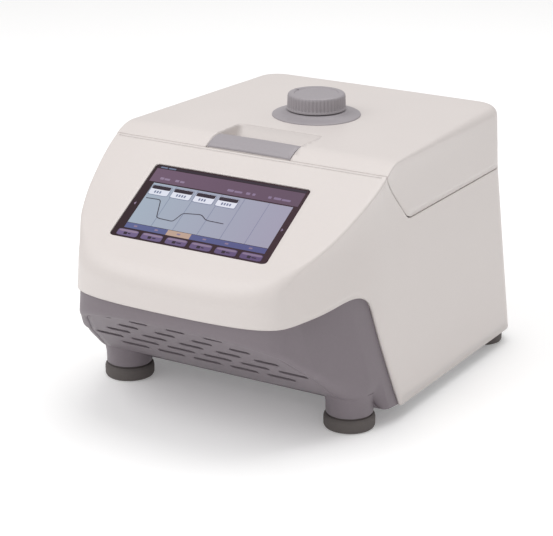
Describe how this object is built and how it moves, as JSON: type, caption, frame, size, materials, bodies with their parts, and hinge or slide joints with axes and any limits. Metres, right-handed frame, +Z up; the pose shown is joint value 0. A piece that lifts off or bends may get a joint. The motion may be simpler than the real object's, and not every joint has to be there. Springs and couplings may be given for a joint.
{
  "type": "thermal cycler",
  "caption": "Bench-top thermal cycler with a sloped touch display, heated well block, hinged lid with hot plate, height knob and pull latch, on short feet.",
  "frame": {"origin": "on the bench, below the middle of the instrument's bounding box", "axes": "+Z up, -Y towards the display at the front, +X to the right as seen from the front"},
  "size_m": [0.296, 0.3854, 0.2475],
  "materials": {
    "white_plastic": "satin warm white",
    "grey_plastic": "fine matt",
    "light_grey_plastic": "satin",
    "foot_rubber": "matt",
    "dark_plastic": "matt black",
    "display_glass": "clear gloss over a lit screen",
    "aluminium": "machined",
    "steel": "brushed",
    "peltier_ceramic": "matt",
    "circuit_board": "solder mask",
    "silicone_seal": "soft matt"
  },
  "bodies": {
    "base": {"main_housing": "white_plastic", "front_base_cowl": "grey_plastic", "bottom_plate": "steel", "front_foot_pad_left": "foot_rubber", "front_foot_pad_right": "foot_rubber", "rear_foot_left": "foot_rubber", "rear_foot_right": "foot_rubber", "display_glass": "display_glass", "display_bezel": "dark_plastic", "display_module": "steel", "control_board": "circuit_board", "board_spacer_1": "steel", "board_spacer_2": "steel", "board_spacer_3": "steel", "board_spacer_4": "steel", "sample_block": "aluminium", "block_seal": "silicone_seal", "peltier_1": "peltier_ceramic", "peltier_2": "peltier_ceramic", "peltier_3": "peltier_ceramic", "peltier_4": "peltier_ceramic", "peltier_5": "peltier_ceramic", "peltier_6": "peltier_ceramic", "heatsink": "aluminium", "fan_frame_left": "dark_plastic", "fan_frame_right": "dark_plastic", "rear_panel": "white_plastic", "mains_inlet": "dark_plastic", "usb_port": "steel", "power_supply": "steel", "driver_board": "circuit_board", "hinge_leaf_fixed_left": "steel", "hinge_leaf_fixed_right": "steel", "hinge_pin_left": "steel", "hinge_pin_right": "steel", "latch_keeper": "steel"},
    "lid": {"lid_shell": "white_plastic", "lid_liner": "light_grey_plastic", "hinge_leaf_lid_left": "steel", "hinge_leaf_lid_right": "steel", "knob_escutcheon": "light_grey_plastic", "screw_bush": "steel", "guide_rod_left": "steel", "guide_rod_right": "steel", "latch_pin": "steel", "latch_spring": "steel"},
    "hot_plate": {"heater_plate": "aluminium", "heater_insulation": "silicone_seal", "press_carrier": "steel"},
    "knob": {"knob": "light_grey_plastic", "lead_screw": "steel"},
    "latch": {"latch_plate": "light_grey_plastic"},
    "fan_left": {"fan_rotor_left": "dark_plastic"},
    "fan_right": {"fan_rotor_right": "dark_plastic"},
    "switch": {"power_rocker": "dark_plastic"},
    "fuse_drawer": {"fuse_drawer": "dark_plastic"}
  },
  "joints": [
    {"name": "lid_hinge", "type": "hinge", "parent": "base", "child": "lid", "pos_m": [0, 0.1898, 0.1697], "axis": [-1, 0, 0], "range_deg": [0, 78]},
    {"name": "knob_turn", "type": "hinge", "parent": "lid", "child": "knob", "pos_m": [0, 0.057, 0.24], "axis": [0, 0, -1], "range_deg": [0, 720]},
    {"name": "hot_plate_travel", "type": "slide", "parent": "lid", "child": "hot_plate", "axis": [0, 0, -1], "range_m": [0, 0.006]},
    {"name": "latch_pull", "type": "hinge", "parent": "lid", "child": "latch", "pos_m": [0, -0.055, 0.2192], "axis": [1, 0, 0], "range_deg": [0, 14], "stiffness_Nm_per_rad": 0.15, "springref_deg": -14.32},
    {"name": "fan_left_spin", "type": "hinge", "parent": "base", "child": "fan_left", "pos_m": [-0.043, 0.1723, 0.1125], "axis": [0, 1, 0], "continuous": true},
    {"name": "fan_right_spin", "type": "hinge", "parent": "base", "child": "fan_right", "pos_m": [0.043, 0.1723, 0.1125], "axis": [0, 1, 0], "continuous": true},
    {"name": "power_switch", "type": "hinge", "parent": "base", "child": "switch", "pos_m": [-0.06, 0.1835, 0.053], "axis": [1, 0, 0], "range_deg": [0, 16]},
    {"name": "fuse_drawer_slide", "type": "slide", "parent": "base", "child": "fuse_drawer", "axis": [0, 1, 0], "range_m": [0, 0.014]}
  ],
  "couplings": [
    {"joint": "knob_turn", "follows": "hot_plate_travel", "rad_per_m": 2094.3}
  ]
}
